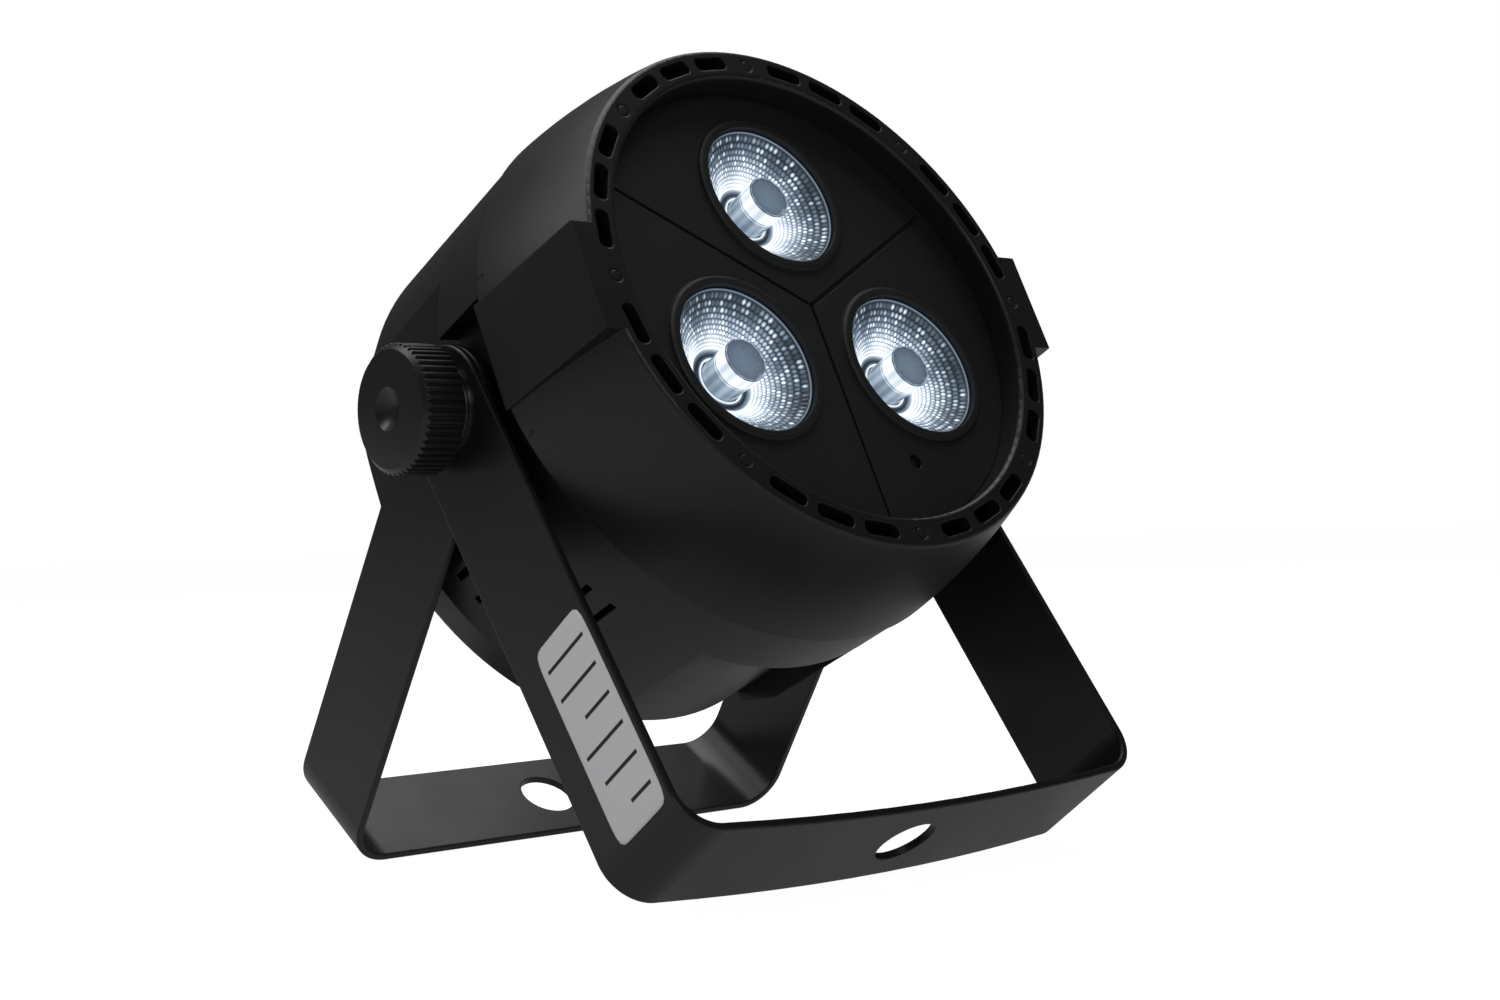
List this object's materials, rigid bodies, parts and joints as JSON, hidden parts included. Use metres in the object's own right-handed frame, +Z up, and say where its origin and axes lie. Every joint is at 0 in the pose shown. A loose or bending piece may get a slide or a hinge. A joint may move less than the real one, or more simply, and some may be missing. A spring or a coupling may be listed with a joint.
{
  "type": "par can light",
  "caption": "Compact stage par light with a tilting plastic head, collimated LED lenses in a vented face, and two folding steel U-brackets clamped by hand knobs.",
  "frame": {"origin": "on the floor under the middle of the whole object, as it stands on both brackets", "axes": "+Z up, lenses face -Y and up, pivot line along X, left knob at -X"},
  "size_m": [0.144, 0.1385, 0.1624],
  "materials": {
    "casing": "black moulded plastic, fine spark texture, satin",
    "panel": "black moulded plastic, fine matt texture",
    "knob": "black moulded plastic, satin",
    "holder": "black moulded plastic",
    "lens": "clear moulded acrylic, beaded front",
    "emitter": "white ceramic package with a clear dome",
    "led_board": "white solder mask on aluminium",
    "aluminium": "extruded, plain",
    "circuit_board": "green glass-epoxy board",
    "component": "moulded epoxy",
    "window": "dark red tinted window",
    "button": "grey-black moulded plastic",
    "socket": "black nylon",
    "latch": "grey nylon",
    "wire": "soft vinyl sleeve",
    "brass": "turned brass",
    "rubber": "matt black rubber",
    "zinc_steel": "zinc plated steel",
    "bracket": "black powder coat on flat steel strip"
  },
  "bodies": {
    "outer_bracket": {"outer_bracket": "bracket"},
    "head": {"front_casing": "casing", "rear_housing": "casing", "front_panel": "panel", "rear_panel": "panel", "lens_top": "lens", "lens_left": "lens", "lens_right": "lens", "lens_holder_top": "holder", "lens_holder_left": "holder", "lens_holder_right": "holder", "emitter_top": "emitter", "emitter_left": "emitter", "emitter_right": "emitter", "led_board": "led_board", "heat_sink": "aluminium", "ir_receiver": "component", "led_lead": "wire", "led_plug": "socket", "power_board": "circuit_board", "transformer": "component", "capacitors": "component", "fuse_link": "component", "control_board": "circuit_board", "display_module": "component", "display_window": "window", "tact_switches": "component", "microphone": "component", "power_inlet": "socket", "inlet_blades": "brass", "dmx_input": "socket", "dmx_input_pins": "brass", "dmx_output": "socket", "casing_screws": "zinc_steel", "panel_screws": "zinc_steel", "socket_screws": "zinc_steel", "board_screws": "zinc_steel", "pivot_insert_left": "brass", "pivot_insert_right": "brass", "friction_washer_left": "rubber", "friction_washer_right": "rubber", "safety_eye": "zinc_steel"},
    "inner_bracket": {"inner_bracket": "bracket"},
    "left_washer": {"knob_washer_left": "zinc_steel"},
    "left_knob": {"knob_left": "knob", "knob_stud_left": "zinc_steel"},
    "right_washer": {"knob_washer_right": "zinc_steel"},
    "right_knob": {"knob_right": "knob", "knob_stud_right": "zinc_steel"},
    "menu_button": {"button_menu": "button"},
    "down_button": {"button_down": "button"},
    "up_button": {"button_up": "button"},
    "enter_button": {"button_enter": "button"},
    "dmx_latch": {"dmx_output_latch": "latch"}
  },
  "joints": [
    {"name": "head_tilt", "type": "hinge", "parent": "outer_bracket", "child": "head", "pos_m": [0, 0.00186, 0.09107], "axis": [1, 0, 0], "range_deg": [-65, 8]},
    {"name": "inner_bracket_fold", "type": "hinge", "parent": "outer_bracket", "child": "inner_bracket", "pos_m": [0, 0.00186, 0.09107], "axis": [1, 0, 0], "range_deg": [-68.12, 66]},
    {"name": "left_knob_travel", "type": "slide", "parent": "head", "child": "left_washer", "axis": [-1, 0, 0], "range_m": [0, 0.002]},
    {"name": "left_knob_turn", "type": "hinge", "parent": "left_washer", "child": "left_knob", "pos_m": [0, 0.00186, 0.09107], "axis": [-1, 0, 0], "range_deg": [0, 720]},
    {"name": "right_knob_travel", "type": "slide", "parent": "head", "child": "right_washer", "axis": [1, 0, 0], "range_m": [0, 0.002]},
    {"name": "right_knob_turn", "type": "hinge", "parent": "right_washer", "child": "right_knob", "pos_m": [0, 0.00186, 0.09107], "axis": [1, 0, 0], "range_deg": [0, 720]},
    {"name": "menu_button_press", "type": "slide", "parent": "head", "child": "menu_button", "axis": [0, -0.9026, 0.4305], "range_m": [0, 0.0008], "stiffness_N_per_m": 800},
    {"name": "down_button_press", "type": "slide", "parent": "head", "child": "down_button", "axis": [0, -0.9026, 0.4305], "range_m": [0, 0.0008], "stiffness_N_per_m": 800},
    {"name": "up_button_press", "type": "slide", "parent": "head", "child": "up_button", "axis": [0, -0.9026, 0.4305], "range_m": [0, 0.0008], "stiffness_N_per_m": 800},
    {"name": "enter_button_press", "type": "slide", "parent": "head", "child": "enter_button", "axis": [0, -0.9026, 0.4305], "range_m": [0, 0.0008], "stiffness_N_per_m": 800},
    {"name": "dmx_latch_press", "type": "slide", "parent": "head", "child": "dmx_latch", "axis": [0, -0.4305, -0.9026], "range_m": [0, 0.001], "stiffness_N_per_m": 700}
  ],
  "couplings": [
    {"joint": "left_knob_turn", "follows": "left_knob_travel", "rad_per_m": 6283.2},
    {"joint": "right_knob_turn", "follows": "right_knob_travel", "rad_per_m": 6283.2}
  ]
}
